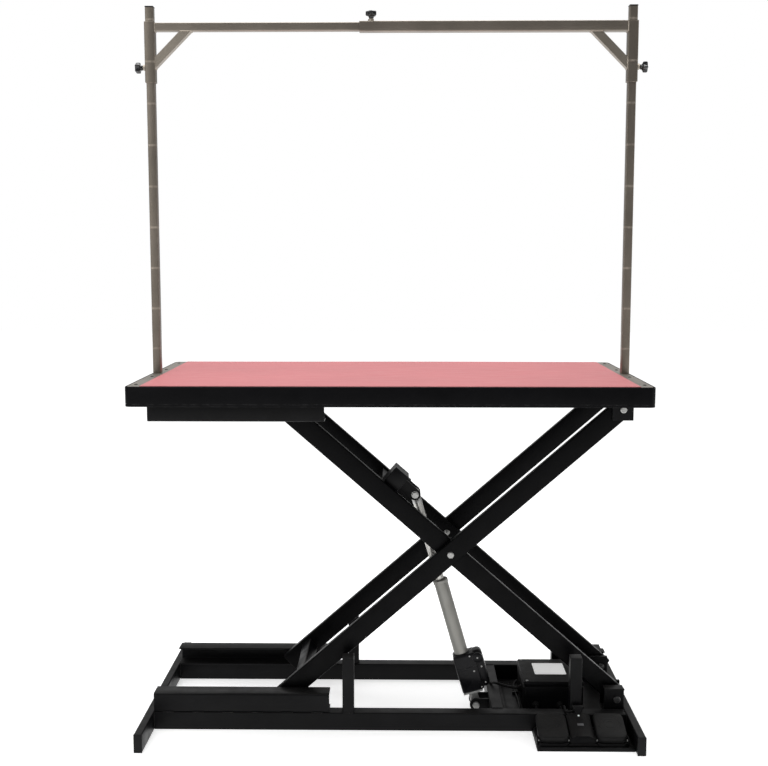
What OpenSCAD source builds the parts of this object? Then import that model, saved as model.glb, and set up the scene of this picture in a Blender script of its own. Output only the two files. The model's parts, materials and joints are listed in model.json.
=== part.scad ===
/* [Table top] */
// Width of the top along X
top_w = 1200; // [1160:10:1260]
// Depth of the top along Y
top_d = 600; // [560:10:680]
// Height of the mat surface at full lift
raised_h = 860; // [840:5:880]
// How far the top comes down
travel = 630; // [560:5:630]
// Corner radius of the edge band
corner_r = 14; // [6:1:30]

/* [Base] */
// Distance over the outside of the two skids
base_w = 1190; // [1180:2:1200]
// Length of each skid
skid_l = 626; // [566:10:686]
// Height of the skid and rail tube
rail_h = 45; // [44:1:46]
// Width of the rail tube
rail_t = 35; // [33:1:37]
// Distance from the middle to the outside face of a rail
rail_y = 183; // [183:1:190]

/* [Scissor] */
// Distance between the end pivots of an arm
arm_l = 1090; // [1060:5:1100]
// Depth of the arm tube
arm_h = 44; // [44:1:50]
// Width of the arm tube
arm_t = 20; // [18:1:22]
// Radius of the pivot bolts
bolt_r = 5; // [5:0.5:6]
// Radius of the rollers
roller_r = 18; // [16:1:18]

/* [Actuator] */
// Radius of the outer tube
tube_r = 17.5; // [16:0.5:18]
// Radius of the piston rod
rod_r = 11; // [9:0.5:11]

/* [Overhead bar] */
// Height of the top of the posts
post_top = 1749; // [1740:5:1900]
// Side of the post tube
post_s = 20; // [18:0.5:20]
// Height of the top face of the cross bar
bar_top = 1715; // [1600:5:1715]
// Radius of the star knobs
knob_r = 14; // [12:1:16]

/* [Hidden] */
$fn = 48;
wall = 2.5;
gap = 0.05;
far = 4000;

// Table heights
frame_z = raised_h - 45;
deck_z = raised_h - 24;
strip_z = raised_h - 6;
band_z = raised_h - 3;
band_t = 2;

// Scissor geometry
hinge_x = 558;
channel_t = 4;
low_z = rail_h + channel_t + roller_r;
up_z = frame_z - 30;
lift_a = asin((up_z - low_z) / arm_l);
mid_x = hinge_x - arm_l / 2 * cos(lift_a);
mid_z = low_z + arm_l / 2 * sin(lift_a);
roll_x = hinge_x - arm_l * cos(lift_a);
arm_end = 12;
outer_y = 134;
inner_y = outer_y - arm_t - 2;
inner_face = inner_y - arm_t;

// Roller channels
channel_d = 46;
channel_open = rail_y - channel_d;
channel_end = 575;
low_channel_r = -147;
up_channel_r = -155;
channel_h = 47;
up_channel_z = up_z + roller_r + channel_t - channel_h;
roller_w = 30;

// Stop posts: X, side (-1 front, 1 back) and height of each
stop_w = 28;
stop_d = 30;
stop_h = frame_z - travel;
cap_h = 3;
stops = [[-101, -1, stop_h], [-101, 1, stop_h],
         [451.5, -1, stop_h], [451.5, 1, stop_h - 30]];

// Actuator, in the plane of its own axis
act_y = -55;
act_x = 217.5;
act_z = 24;
top_u = 155;
top_n = 46;
eye_x = mid_x - top_u * cos(lift_a) + top_n * sin(lift_a);
eye_z = mid_z + top_u * sin(lift_a) + top_n * cos(lift_a);
act_tilt = atan2(eye_x - act_x, eye_z - act_z);
act_l = norm([eye_x - act_x, eye_z - act_z]);
case_lo = 35;
case_hi = 135;
tube_hi = 327;
pin_r = 5;

// Extra radius of a cable at its bends
bend_r = 0.5;

// Overhead bar
post_x = 586;
socket_s = 24;
post_z = frame_z + 3;
slide = 0.1;
sleeve_s = post_s + 5;
sleeve_lo = 1570;
sleeve_in = post_x - sleeve_s / 2;
sleeve_out = post_x + sleeve_s / 2;
knob_z = 1607;
knob_x = -48;
stud_r = 3;
nut_h = 6.5;
bar_end = -76;
brace_near = 61;
brace_far = 89;

// ---- shared shapes ----

// A block between two corners
module block(a, b) {
    translate(a) cube(b - a);
}

// A square-cut tube: a block with its core removed along one axis (0 X, 1 Y, 2 Z)
module tube(a, b, along, t = wall) {
    in = [for (i = [0:2]) i == along ? -1 : t];
    difference() {
        block(a, b);
        block(a + in, b - in);
    }
}

// The same shape at the front and at the back
module front_and_back() {
    children();
    mirror([0, 1, 0]) children();
}

module left_and_right() {
    children();
    mirror([1, 0, 0]) children();
}

// A round bar along Y between y0 and y1
module bar_y(x, z, r, y0, y1) {
    translate([x, y0, z]) rotate([-90, 0, 0]) cylinder(r = r, h = y1 - y0);
}

// A ring along Y
module ring_y(x, z, r, bore, y0, y1) {
    difference() {
        bar_y(x, z, r, y0, y1);
        bar_y(x, z, bore, y0 - 1, y1 + 1);
    }
}

// A hexagonal nut or head along Y, size is its width across flats
module hex_y(x, z, size, y0, y1) {
    translate([x, y0, z]) rotate([-90, 0, 0])
        cylinder(r = size / 2 / cos(30), h = y1 - y0, $fn = 6);
}

// A flat rectangle with round corners
module round_rect(w, d, r) {
    square([w - 2 * r, d], center = true);
    square([w, d - 2 * r], center = true);
    for (x = [-1, 1], y = [-1, 1])
        translate([x * (w / 2 - r), y * (d / 2 - r)]) circle(r);
}

// Places a shape in the frame of the inner arms: -X runs up the arm from the fixed pivot
module on_inner() {
    translate([hinge_x, 0, low_z]) rotate([0, lift_a, 0]) children();
}

// Places a shape in the frame of the outer arms: -X runs down the arm from the fixed pivot
module on_outer() {
    translate([hinge_x, 0, up_z]) rotate([0, -lift_a, 0]) children();
}

// Places a shape on the actuator axis: Z runs from the base pin to the rod pin
module on_actuator() {
    translate([act_x, act_y, act_z]) rotate([0, act_tilt, 0]) children();
}

// ---- base frame ----

module skid() {
    tube([base_w / 2 - 20, -skid_l / 2, 0], [base_w / 2, skid_l / 2, rail_h], 1);
}

module left_skid() {
    color("#26262a") mirror([1, 0, 0]) skid();
}

module right_skid() {
    color("#26262a") skid();
}

module rail() {
    x = base_w / 2 - 20;
    tube([-x, -rail_y, 0], [x, -rail_y + rail_t, rail_h], 0);
}

module front_rail() {
    color("#26262a") rail();
}

module back_rail() {
    color("#26262a") mirror([0, 1, 0]) rail();
}

// Plastic plugs in the skid ends and lids on the stop posts
module tube_caps() {
    x = base_w / 2;
    color("#1a1a1c") {
        front_and_back() left_and_right() {
            block([x - 20, -skid_l / 2 - 3, 0], [x, -skid_l / 2, rail_h]);
            block([x - 20 + wall, -skid_l / 2, wall],
                  [x - wall, -skid_l / 2 + 15, rail_h - wall]);
        }
        for (s = stops) {
            y = s[1] < 0 ? -rail_y : rail_y - stop_d;
            block([s[0] - stop_w / 2, y, s[2] - cap_h],
                  [s[0] + stop_w / 2, y + stop_d, s[2]]);
        }
    }
}

// A C section that is open towards the middle of the table
module channel(x0, x1, z0) {
    z1 = z0 + channel_h;
    difference() {
        block([x0, -rail_y, z0], [x1, -channel_open, z1]);
        block([x0 - 1, -rail_y + channel_t, z0 + channel_t],
              [x1 + 1, -channel_open + 1, z1 - channel_t]);
    }
}

module lower_channels() {
    color("#232327") front_and_back()
        channel(-channel_end, low_channel_r, rail_h);
}

module base_cross_tube() {
    y = rail_y - rail_t;
    color("#26262a") tube([249, -y, 0], [281, y, rail_h], 1);
}

module stop_posts() {
    color("#26262a") for (s = stops) {
        y = s[1] < 0 ? -rail_y : rail_y - stop_d;
        tube([s[0] - stop_w / 2, y, rail_h],
             [s[0] + stop_w / 2, y + stop_d, s[2] - cap_h], 2);
    }
}

// Folded U bracket that carries the fixed pivot of an inner arm
module lower_arm_brackets() {
    x0 = hinge_x - 31;
    x1 = base_w / 2 - 20;
    ear = 8;
    color("#232327") front_and_back() difference() {
        union() {
            block([x0, -145, 30], [x1, -145 + ear, 94]);
            block([x0, -145, 90], [x1, -118, 94]);
            block([x0, -rail_y + rail_t, 30], [x1, -inner_face + 11, 36]);
            block([x0, -inner_face + 3, 30], [x1, -inner_face + 11, 94]);
        }
        bar_y(hinge_x, low_z, bolt_r + gap, -200, 0);
    }
}

// Bolts of the lower arm pivots, with their spacers, and of the actuator base pin
module base_pivot_bolts() {
    color("#9a9a9c") {
        front_and_back() {
            bar_y(hinge_x, low_z, bolt_r, -145, -inner_face + 11);
            hex_y(hinge_x, low_z, 16, -152, -145);
            hex_y(hinge_x, low_z, 16, -inner_face + 11, -inner_face + 20);
            ring_y(hinge_x, low_z, 11, bolt_r + gap, -137, -inner_y - gap);
        }
        bar_y(act_x, act_z, pin_r, act_y - 24, act_y + 24);
        hex_y(act_x, act_z, 17, act_y - 30, act_y - 24);
        hex_y(act_x, act_z, 17, act_y + 24, act_y + 32);
    }
}

module actuator_base_bracket() {
    color("#232327") for (y = [act_y - 24, act_y + 18]) difference() {
        union() {
            block([act_x, y, 8], [249, y + 6, 40]);
            intersection() {
                bar_y(act_x, act_z, 16, y, y + 6);
                block([0, -far, 8], [far, far, 40]);
            }
        }
        bar_y(act_x, act_z, pin_r + gap, y - 1, y + 7);
    }
}

module base_plate() {
    y = rail_y - rail_t;
    color("#202024") difference() {
        block([281, -y, 0], [base_w / 2 - 20, y, 5]);
        for (x = [300, 320], y = [-120, 120])
            translate([x, y, -1]) cylinder(r = 4, h = 7);
    }
}

// ---- control box ----

box_a = [337, -78, 5];
box_b = [487, 86, 85];

module control_box() {
    color("#2b2b2f") difference() {
        block(box_a, box_b - [0, 0, 12]);
        block(box_a + [3, 3, 3], box_b - [3, 3, 0]);
    }
}

module control_box_lid() {
    color("#2f2f33") difference() {
        block([box_a[0], box_a[1], box_b[2] - 12], box_b);
        block([box_a[0] + 3, box_a[1] + 3, box_b[2] - 13],
              box_b - [3, 3, 3]);
    }
}

module control_box_label() {
    color("#dedede") block([371, -26, box_b[2]], [451, 52, box_b[2] + 0.6]);
}

// Circuit board on four posts, with a transformer and two relays
module circuit_board() {
    color("#2f6b3a") {
        block([350, -62, 18], [474, 64, 20]);
        for (x = [358, 466], y = [-54, 56])
            translate([x, y, 8]) cylinder(r = 4, h = 10);
        block([360, -40, 20], [410, 20, 60]);
        for (y = [-40, 0])
            block([430, y, 20], [450, y + 28, 38]);
    }
}

// ---- foot switch ----

tray_a = [346, -294, 0];
tray_b = [574, -rail_y, 4];
ped_y0 = -288;
ped_y1 = -186;
ped_hinge_y = -276;
ped_hinge_z = 20;
ped_slope = 16;
ped_x = [386, 523];
ped_w = 72;
cheek = 3;
clamp_x = (ped_x[0] + ped_x[1]) / 2;
clamp_y = ped_y1 - 7;
ped_a = ped_x[0] - ped_w / 2 - 1 - cheek;
ped_b = ped_x[1] + ped_w / 2 + 1 + cheek;

module pedal_tray() {
    color("#242428") block(tray_a, tray_b);
}

// Cheeks that hold the pin of one pedal
module cheeks(x) {
    w = ped_w / 2 + 1;
    for (x0 = [x - w - cheek, x + w])
        block([x0, ped_hinge_y - 6, 12], [x0 + cheek, ped_hinge_y + 12, 27]);
}

// Base shell with pin cheeks, a sloping middle block and a cable clamp behind it
module pedal_housing() {
    mid_a = ped_x[0] + ped_w / 2 + 1 + cheek;
    mid_b = ped_x[1] - ped_w / 2 - 1 - cheek;
    color("#2e2e31") difference() {
        union() {
            block([ped_a, ped_y0, 4], [ped_b, ped_y1, 12]);
            block([ped_a, ped_y0, 12], [ped_b, ped_hinge_y - 6, 16]);
            translate([mid_a, 0, 0]) rotate([90, 0, 90]) linear_extrude(mid_b - mid_a)
                polygon([[ped_hinge_y - 6, 12], [ped_hinge_y - 6, 32],
                         [clamp_y, 55], [clamp_y, 12]]);
            block([clamp_x - 8, clamp_y - 8, 50], [clamp_x + 8, clamp_y, 66]);
            for (x = ped_x) cheeks(x);
        }
        translate([0, ped_hinge_y, ped_hinge_z]) rotate([0, 90, 0])
            cylinder(r = 2.5 + gap, h = 700);
    }
}

// One steel pin through each pedal
module pedal_pins() {
    l = ped_w + 2 + 2 * cheek;
    color("#8c8c8e") for (x = ped_x)
        translate([x - l / 2, ped_hinge_y, ped_hinge_z]) rotate([0, 90, 0])
            cylinder(r = 2.5, h = l);
}

// Push switches under the pedals
module pedal_switches() {
    color("#7a2a22") for (x = ped_x)
        block([x - 8, -212, 12], [x + 8, -200, 37]);
}

// A pedal plate with a skirt, hinged along its front edge
module pedal(x) {
    w = ped_w / 2;
    translate([x, ped_hinge_y, ped_hinge_z]) difference() {
        union() {
            rotate([ped_slope, 0, 0]) translate([0, 40, 6]) linear_extrude(9)
                round_rect(2 * w, 88, 12);
            rotate([0, 90, 0]) translate([0, 0, -w + 2])
                cylinder(r = 6, h = 2 * w - 4);
        }
        rotate([0, 90, 0]) translate([0, 0, -far / 2])
            cylinder(r = 2.5 + gap, h = far);
    }
}

module up_pedal() {
    color("#3a3a3d") pedal(ped_x[0]);
}

module down_pedal() {
    color("#3a3a3d") pedal(ped_x[1]);
}

// A round lead through a few points, with a ball at each bend
module lead(points, r) {
    last = len(points) - 1;
    for (i = [1:last]) {
        d = points[i] - points[i - 1];
        translate(points[i - 1])
            rotate([0, acos(d[2] / norm(d)), atan2(d[1], d[0])])
            cylinder(r = r, h = norm(d));
        if (i < last)
            bend(points[i], unit(d), unit(points[i + 1] - points[i]), r + bend_r);
    }
}

function unit(v) = v / norm(v);

// Ball that rounds a bend from direction a to b, set square to the bend's plane
module bend(at, a, b, r) {
    x = unit(a - b);
    z = unit(cross(a, b));
    y = cross(z, x);
    multmatrix([[x[0], y[0], z[0], at[0]], [x[1], y[1], z[1], at[1]],
                [x[2], y[2], z[2], at[2]], [0, 0, 0, 1]])
        sphere(r);
}

// Motor lead over the cross tube, and foot switch lead over the front rail
module cables() {
    y = box_a[1];
    color("#161618") {
        lead([[box_a[0], -30, 50], [312, -30, 50], [292, -18, 52],
              [262, 4, 52], [244, 12, 50]], 3.5);
        lead([[428, y, 25], [428, y - 50, 25], [428, y - 63, 38],
              [428, y - 63, 44], [428, y - 69, 50], [428, ped_y1 + 5, 50],
              [435, ped_y1 - 2.5, 52], [clamp_x, ped_y1 - 2.5, 60],
              [clamp_x, clamp_y + 0.1, 60]], 3);
    }
}

// ---- scissor ----

// One arm tube with a bush welded in at each pivot
module arm(y0) {
    y1 = y0 + arm_t;
    difference() {
        union() {
            tube([-arm_l - arm_end, y0, -arm_h / 2], [arm_end, y1, arm_h / 2], 0);
            for (x = [0, -arm_l / 2, -arm_l])
                bar_y(x, 0, 11, y0 + 1, y1 - 1);
        }
        for (x = [0, -arm_l / 2, -arm_l])
            bar_y(x, 0, bolt_r + gap, y0 - 1, y1 + 1);
    }
}

module front_inner_arm() {
    color("#1f1f23") on_inner() arm(-inner_y);
}

module back_inner_arm() {
    color("#1f1f23") on_inner() arm(inner_face);
}

module inner_cross_tube() {
    x = -arm_l + 60;
    color("#1f1f23") on_inner()
        tube([x - 15, -inner_face, -15], [x + 15, inner_face, 15], 1);
}

// Cross tube with a box and two ears that hold the top of the actuator
module actuator_top_bracket() {
    c = -arm_l / 2;
    u0 = 196;
    u1 = 238;
    color("#1f1f23") on_inner() difference() {
        union() {
            tube([c - 240, -inner_face, -20], [c - 200, inner_face, 20], 1);
            tube([c - u1, -inner_face, 20], [c - u0, act_y + 25, 70], 1);
            for (y = [act_y - 21, act_y + 15]) {
                block([c - u0, y, 30], [c - top_u, y + 6, 60]);
                bar_y(c - top_u, top_n, 14, y, y + 6);
            }
        }
        bar_y(c - top_u, top_n, pin_r + gap, act_y - 22, act_y + 22);
    }
}

module upper_axles() {
    color("#8c8c8e") on_inner() front_and_back()
        bar_y(-arm_l, 0, bolt_r, -rail_y + channel_t + 1, -inner_face + 1);
}

// Centre pivot bolts and the head and nut of the actuator top bolt
module inner_arm_bolts() {
    c = -arm_l / 2;
    color("#9a9a9c") on_inner() {
        front_and_back() {
            bar_y(c, 0, bolt_r, -outer_y, -inner_face);
            hex_y(c, 0, 15, -outer_y - 2.5, -outer_y);
            hex_y(c, 0, 15, -inner_face, -inner_face + 8);
            ring_y(c, 0, 11, bolt_r + gap, -outer_y + arm_t + gap, -inner_y - gap);
        }
        for (s = [-1, 1]) {
            y = act_y + s * 24;
            hex_y(c - top_u, top_n, 15, y - 3, y + 3);
        }
    }
}

module front_outer_arm() {
    color("#1f1f23") on_outer() arm(-outer_y);
}

module back_outer_arm() {
    color("#1f1f23") on_outer() arm(outer_y - arm_t);
}

module outer_cross_tube() {
    x = -arm_l + 60;
    y = outer_y - arm_t;
    color("#1f1f23") on_outer() tube([x - 15, -y, -15], [x + 15, y, 15], 1);
}

module lower_axles() {
    color("#8c8c8e") on_outer() front_and_back()
        bar_y(-arm_l, 0, bolt_r, -rail_y + channel_t + 1, -outer_y + arm_t - 1);
}

module rollers(z) {
    y0 = -rail_y + channel_t + 4;
    color("#55555a") front_and_back()
        ring_y(roll_x, z, roller_r - gap, bolt_r + gap, y0, y0 + roller_w);
}

module lower_rollers() {
    rollers(low_z);
}

module upper_rollers() {
    rollers(up_z);
}

// ---- actuator ----

module actuator_housing() {
    color("#202024") on_actuator() difference() {
        union() {
            block([-24, -24, case_lo], [30, 24, case_hi]);
            translate([0, 0, case_hi]) cylinder(r = 21, h = 6);
            bar_y(14, 106, 25, -28, -24);
        }
        translate([0, 0, 110]) cylinder(r = rod_r + 1, h = 60);
        translate([0, 0, 55]) cylinder(r = 6.5, h = 60);
    }
}

// Bright end plate with the eye for the base pin
module actuator_clevis() {
    color("#b9b9bb") on_actuator() difference() {
        union() {
            block([-22, -20, case_lo - 5], [22, 20, case_lo]);
            block([-11, -12, 0], [11, 12, case_lo - 5]);
            bar_y(0, 0, 11, -12, 12);
        }
        bar_y(0, 0, pin_r + gap, -13, 13);
    }
}

module actuator_tube() {
    color("#b4b4b2") on_actuator() difference() {
        translate([0, 0, case_hi + 6]) cylinder(r = tube_r, h = tube_hi - case_hi - 6);
        translate([0, 0, case_hi]) cylinder(r = rod_r + gap, h = far);
    }
}

module actuator_motor() {
    color("#1c1c20") on_actuator() {
        bar_y(10, 100, 21, 24, 92);
        bar_y(10, 100, 12, 92, 96);
    }
}

module leadscrew() {
    color("#8c8c8e") on_actuator() translate([0, 0, 60]) cylinder(r = 6, h = 285);
}

module actuator_rod() {
    color("#c9c9c9") on_actuator() difference() {
        translate([0, 0, 300]) cylinder(r = rod_r, h = act_l - 12 - 300);
        translate([0, 0, 299]) cylinder(r = 7, h = act_l - 30 - 299);
    }
}

// Rod end with its cross pin
module rod_eye() {
    color("#9a9a9c") on_actuator() union() {
        bar_y(0, act_l, 12, -12, 12);
        bar_y(0, act_l, pin_r, -14.5, 14.5);
    }
}

// ---- top ----

// Socket block for a post
module socket() {
    s = socket_s / 2;
    h = post_s / 2 + slide;
    difference() {
        block([post_x - s, -s, frame_z], [post_x + s, s, strip_z]);
        block([post_x - h, -h, post_z], [post_x + h, h, strip_z + 1]);
    }
}

// Welded frame under the board: two long tubes, four cross tubes and the post sockets
module table_frame() {
    x = 573;
    y = top_d / 2 - band_t;
    color("#202024") {
        front_and_back() {
            tube([-x, -rail_y, frame_z], [x, -channel_open, deck_z], 0);
            tube([-x, -y, frame_z], [x, -y + 25, deck_z], 0);
            block([-x + 20, -rail_y, up_channel_z + channel_h],
                  [up_channel_r, -channel_open, frame_z]);
            for (c = [-553, -330, 100, 533])
                block([c - 20, -y + 25, frame_z], [c + 20, -rail_y, deck_z]);
        }
        for (c = [-553, -330, 100, 558])
            tube([c - 25 + (c == -553 ? 5 : 0), -channel_open, frame_z],
                 [c + 25 - (c == 558 ? 10 : 0), channel_open, deck_z], 1);
        left_and_right() socket();
    }
}

module edge_band() {
    color("#161619") translate([0, 0, frame_z]) linear_extrude(band_z - frame_z)
        difference() {
            round_rect(top_w, top_d, corner_r);
            round_rect(top_w - 2 * band_t, top_d - 2 * band_t, corner_r - band_t);
        }
}

// A layer that fills the band, between two heights
module layer(z0, z1) {
    translate([0, 0, z0]) linear_extrude(z1 - z0)
        round_rect(top_w - 2 * band_t, top_d - 2 * band_t, corner_r - band_t);
}

module deck_board() {
    s = socket_s / 2;
    color("#7a5a3c") difference() {
        layer(deck_z, strip_z);
        left_and_right() block([post_x - s, -s, 0], [top_w, s, far]);
    }
}

module rubber_mat() {
    y = top_d / 2 - band_t;
    color("#e89898") block([-566, -y, strip_z], [566, y, raised_h]);
}

module end_strips() {
    h = post_s / 2 + slide;
    color("#8f8a82") left_and_right() difference() {
        intersection() {
            layer(strip_z, band_z);
            block([566, -far, 0], [far, far, far]);
        }
        block([post_x - h, -h, 0], [post_x + h, h, far]);
        for (y = [-255, -85, 85, 255])
            translate([582, y, 0]) cylinder(r = 2.2, h = far);
    }
}

module strip_screws() {
    color("#303034") left_and_right() for (y = [-255, -85, 85, 255]) {
        translate([582, y, strip_z]) cylinder(r = 2, h = band_z - strip_z);
        translate([582, y, band_z]) cylinder(r = 4.5, h = 1.5);
    }
}

module upper_channels() {
    color("#232327") front_and_back()
        channel(-channel_end, up_channel_r, up_channel_z);
}

module upper_arm_brackets() {
    color("#232327") front_and_back() difference() {
        for (y = [-143, -outer_y + arm_t + 3])
            block([hinge_x - 26, y, up_z - 26], [hinge_x + 24, y + 8, frame_z]);
        bar_y(hinge_x, up_z, bolt_r + gap, -200, 0);
    }
}

module upper_pivot_bolts() {
    nut_y = -outer_y + arm_t + 11;
    color("#9a9a9c") front_and_back() {
        bar_y(hinge_x, up_z, bolt_r, -143, nut_y);
        hex_y(hinge_x, up_z, 15, -148, -143);
        hex_y(hinge_x, up_z, 15, nut_y, nut_y + 8);
    }
}

// ---- overhead bar ----

module post() {
    s = post_s / 2;
    tube([post_x - s, -s, post_z], [post_x + s, s, post_top], 2, 1.5);
}

module left_post() {
    color("#6d665a") mirror([1, 0, 0]) post();
}

module right_post() {
    color("#6d665a") post();
}

module post_caps() {
    s = post_s / 2;
    color("#17171a") left_and_right() {
        block([post_x - s, -s, post_top], [post_x + s, s, post_top + 3]);
        block([post_x - s + 1.5, -s + 1.5, post_top - 12],
              [post_x + s - 1.5, s - 1.5, post_top]);
    }
}

// Diagonal bar in the corner under the cross bar; over is how far its ends run past the corner
module brace(near, far_side, over, w) {
    translate([0, w / 2, 0]) rotate([90, 0, 0]) linear_extrude(w)
        polygon([[over, -near - over], [over, -far_side - over],
                 [-far_side - over, over], [-near - over, over]]);
}

// Sleeve that slides on a post, with a diagonal brace up to the cross bar
module sleeve_and_brace(under) {
    s = sleeve_s / 2;
    h = post_s / 2 + slide;
    difference() {
        block([sleeve_in, -s, sleeve_lo], [sleeve_out, s, bar_top]);
        block([post_x - h, -h, sleeve_lo - 1], [post_x + h, h, bar_top + 1]);
        translate([post_x, 0, knob_z]) rotate([0, 90, 0])
            cylinder(r = stud_r + gap, h = 60);
    }
    translate([sleeve_in, 0, under]) difference() {
        brace(brace_near, brace_far, 0, 20);
        brace(brace_near + 3, brace_far - 3, 1, 16);
    }
}

// Left sleeve and brace, with the thinner bar that runs inside the right one
module left_arm_bracket() {
    s = post_s / 2;
    under = bar_top - sleeve_s / 2 - s;
    color("#7c7568") {
        mirror([1, 0, 0]) sleeve_and_brace(under);
        tube([-sleeve_in, -s, under], [40, s, under + post_s], 0, 1.5);
    }
}

// Right sleeve and brace, with the wider bar
module right_arm_bracket() {
    s = sleeve_s / 2;
    color("#7c7568") {
        sleeve_and_brace(bar_top - sleeve_s);
        difference() {
            tube([bar_end, -s, bar_top - sleeve_s], [sleeve_in, s, bar_top], 0, 2);
            translate([knob_x, 0, bar_top - 5]) cylinder(r = stud_r + gap, h = 20);
        }
    }
}

// A welded nut for a knob stud, on the Z axis
module weld_nut() {
    difference() {
        cylinder(r = 6.5 / cos(30), h = nut_h, $fn = 6);
        translate([0, 0, -1]) cylinder(r = stud_r + gap, h = nut_h + 2);
    }
}

module weld_nuts() {
    color("#8f8a80") {
        left_and_right() translate([sleeve_out, 0, knob_z]) rotate([0, 90, 0]) weld_nut();
        translate([knob_x, 0, bar_top]) weld_nut();
    }
}

// Star knob with five lobes and its stud, pointing along Z from the nut seat
module knob() {
    translate([0, 0, 12.5]) linear_extrude(13) {
        circle(knob_r - 4);
        for (i = [0:4]) rotate(72 * i) translate([knob_r - 5, 0]) circle(5);
    }
    translate([0, 0, 8]) cylinder(r = 6, h = 4.5);
    translate([0, 0, -2]) cylinder(r = stud_r, h = 10);
}

module right_knob() {
    color("#111114") translate([sleeve_out, 0, knob_z]) rotate([0, 90, 0]) knob();
}

module left_knob() {
    color("#111114") mirror([1, 0, 0])
        translate([sleeve_out, 0, knob_z]) rotate([0, 90, 0]) knob();
}

module top_knob() {
    color("#111114") translate([knob_x, 0, bar_top]) knob();
}

// ---- assembly ----

left_skid();
right_skid();
front_rail();
back_rail();
tube_caps();
lower_channels();
base_cross_tube();
stop_posts();
lower_arm_brackets();
base_pivot_bolts();
actuator_base_bracket();
base_plate();
control_box();
control_box_lid();
control_box_label();
circuit_board();
pedal_tray();
pedal_housing();
pedal_pins();
pedal_switches();
cables();
up_pedal();
down_pedal();
front_inner_arm();
back_inner_arm();
inner_cross_tube();
actuator_top_bracket();
upper_axles();
inner_arm_bolts();
front_outer_arm();
back_outer_arm();
outer_cross_tube();
lower_axles();
lower_rollers();
upper_rollers();
actuator_housing();
actuator_clevis();
actuator_tube();
actuator_motor();
leadscrew();
actuator_rod();
rod_eye();
table_frame();
edge_band();
deck_board();
rubber_mat();
end_strips();
strip_screws();
upper_channels();
upper_arm_brackets();
upper_pivot_bolts();
left_post();
right_post();
post_caps();
left_arm_bracket();
right_arm_bracket();
weld_nuts();
left_knob();
right_knob();
top_knob();
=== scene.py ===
"""Looks of the powered grooming table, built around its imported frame. Lengths are metres."""

import json
from math import atan2, copysign, cos, pi, radians, sin

import bmesh
import bpy
from mathutils import Matrix, Vector


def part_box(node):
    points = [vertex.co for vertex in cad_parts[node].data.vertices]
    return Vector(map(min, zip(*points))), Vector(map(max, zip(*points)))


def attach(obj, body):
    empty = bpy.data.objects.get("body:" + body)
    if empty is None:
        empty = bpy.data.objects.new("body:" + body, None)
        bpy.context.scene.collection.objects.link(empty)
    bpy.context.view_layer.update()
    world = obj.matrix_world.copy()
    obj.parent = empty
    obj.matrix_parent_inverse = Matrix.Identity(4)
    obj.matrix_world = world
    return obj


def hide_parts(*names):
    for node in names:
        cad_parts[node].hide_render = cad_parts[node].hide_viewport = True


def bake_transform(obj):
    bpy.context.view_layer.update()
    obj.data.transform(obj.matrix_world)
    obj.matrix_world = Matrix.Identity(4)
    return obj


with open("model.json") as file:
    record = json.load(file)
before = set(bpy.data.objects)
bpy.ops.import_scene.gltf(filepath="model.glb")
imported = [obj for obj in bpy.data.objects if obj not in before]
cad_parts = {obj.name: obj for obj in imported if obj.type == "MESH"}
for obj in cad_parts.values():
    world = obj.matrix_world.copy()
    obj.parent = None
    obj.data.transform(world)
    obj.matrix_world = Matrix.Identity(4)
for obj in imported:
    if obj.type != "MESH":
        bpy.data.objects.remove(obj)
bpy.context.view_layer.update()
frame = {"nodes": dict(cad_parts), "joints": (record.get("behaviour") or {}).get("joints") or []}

MM = 0.001
JOINTS = {j["name"]: j for j in frame["joints"]}
PIVOTS = {name: Vector(j["pos_m"]) for name, j in JOINTS.items() if "pos_m" in j}


# ---- materials


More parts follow.
